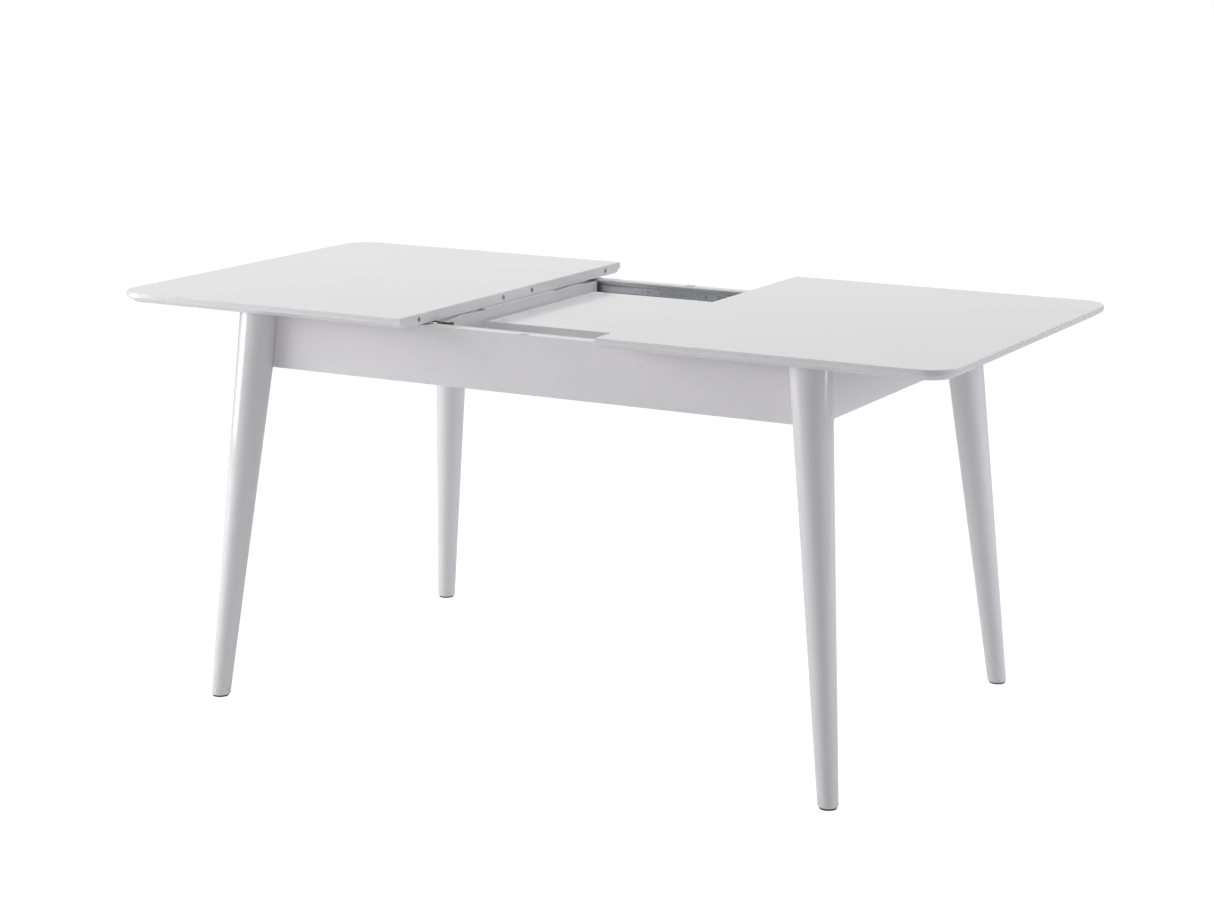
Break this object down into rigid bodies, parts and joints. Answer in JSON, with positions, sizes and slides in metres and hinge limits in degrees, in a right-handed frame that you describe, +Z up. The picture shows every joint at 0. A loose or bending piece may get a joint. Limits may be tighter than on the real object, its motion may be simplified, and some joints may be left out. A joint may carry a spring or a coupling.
{
  "type": "extendable dining table",
  "caption": "Rectangular extendable dining table: the split top slides apart on ball slides over round splayed legs, with a folded leaf stored in the frame.",
  "frame": {"origin": "on the floor, under the middle of the table as drawn, halfway between the outer ends of its two halves", "axes": "+X along the table towards the half that covers the folded leaf, +Y across the table towards its back long side, +Z up"},
  "size_m": [1.7, 0.8268, 0.77],
  "materials": {
    "white_lacquer": "gloss white lacquer on fibreboard and beech",
    "pale_timber": "white-primed timber, matt",
    "zinc_steel": "zinc-plated steel",
    "bronzed_steel": "dark bronzed steel",
    "white_nylon": "moulded white nylon",
    "beech_dowel": "raw beech",
    "dark_foot_pad": "dark rubber pad"
  },
  "bodies": {
    "frame": {"apron_back": "white_lacquer", "apron_front": "white_lacquer", "apron_left": "white_lacquer", "apron_right": "white_lacquer", "corner_block_back_left": "pale_timber", "corner_block_back_right": "pale_timber", "corner_block_front_left": "pale_timber", "corner_block_front_right": "pale_timber", "foot_pad_back_left": "dark_foot_pad", "foot_pad_back_right": "dark_foot_pad", "foot_pad_front_left": "dark_foot_pad", "foot_pad_front_right": "dark_foot_pad", "glide_back": "white_nylon", "glide_front": "white_nylon", "leaf_rail_1": "pale_timber", "leaf_rail_2": "pale_timber", "leaf_rail_3": "pale_timber", "leg_back_left": "white_lacquer", "leg_back_right": "white_lacquer", "leg_bolt_back_left": "zinc_steel", "leg_bolt_back_right": "zinc_steel", "leg_bolt_front_left": "zinc_steel", "leg_bolt_front_right": "zinc_steel", "leg_front_left": "white_lacquer", "leg_front_right": "white_lacquer", "slide_channel_back": "zinc_steel", "slide_channel_front": "zinc_steel"},
    "left_half": {"top_half_left": "white_lacquer", "cross_batten": "white_lacquer", "cleat_front_left": "pale_timber", "cleat_back_left": "pale_timber", "slide_member_front_left": "zinc_steel", "slide_member_back_left": "zinc_steel", "lock_base": "bronzed_steel"},
    "right_half": {"top_half_right": "white_lacquer", "cleat_front_right": "pale_timber", "cleat_back_right": "pale_timber", "slide_member_front_right": "zinc_steel", "slide_member_back_right": "zinc_steel", "lock_keeper": "bronzed_steel", "dowel_1": "beech_dowel", "dowel_2": "beech_dowel", "dowel_3": "beech_dowel", "dowel_4": "beech_dowel"},
    "left_cages": {"ball_cage_front_left": "zinc_steel", "ball_cage_back_left": "zinc_steel"},
    "right_cages": {"ball_cage_front_right": "zinc_steel", "ball_cage_back_right": "zinc_steel"},
    "folded_leaf": {"leaf_board_lower": "white_lacquer", "leaf_hinge_lower_1": "zinc_steel", "leaf_hinge_lower_2": "zinc_steel", "leaf_dowel_lower_1": "beech_dowel", "leaf_dowel_lower_2": "beech_dowel"},
    "leaf_flap": {"leaf_board_upper": "white_lacquer", "leaf_hinge_upper_1": "zinc_steel", "leaf_hinge_upper_2": "zinc_steel", "leaf_dowel_upper_1": "beech_dowel", "leaf_dowel_upper_2": "beech_dowel"},
    "hook": {"lock_hook": "bronzed_steel"}
  },
  "joints": [
    {"name": "left_half_slide", "type": "slide", "parent": "frame", "child": "left_half", "axis": [1, 0, 0], "range_m": [-0.006, 0.2063]},
    {"name": "right_half_slide", "type": "slide", "parent": "frame", "child": "right_half", "axis": [-1, 0, 0], "range_m": [-0.019, 0.1933]},
    {"name": "left_cages_slide", "type": "slide", "parent": "frame", "child": "left_cages", "axis": [1, 0, 0], "range_m": [-0.0035, 0.1035]},
    {"name": "right_cages_slide", "type": "slide", "parent": "frame", "child": "right_cages", "axis": [-1, 0, 0], "range_m": [-0.01, 0.097]},
    {"name": "leaf_slide", "type": "slide", "parent": "frame", "child": "folded_leaf", "axis": [1, 0, 0], "range_m": [-0.0055, 0.179]},
    {"name": "leaf_fold", "type": "hinge", "parent": "folded_leaf", "child": "leaf_flap", "pos_m": [-0.153, -0.185, 0.715], "axis": [1, 0, 0], "range_deg": [0, 1.5]},
    {"name": "lock_swing", "type": "hinge", "parent": "left_half", "child": "hook", "pos_m": [-0.225, -0.281, 0.745], "axis": [0, 0, 1], "range_deg": [0, 8]}
  ],
  "couplings": [
    {"joint": "left_cages_slide", "follows": "left_half_slide", "ratio": 0.5},
    {"joint": "right_cages_slide", "follows": "right_half_slide", "ratio": 0.5},
    {"joint": "leaf_slide", "follows": "left_half_slide", "ratio": 0.866}
  ]
}
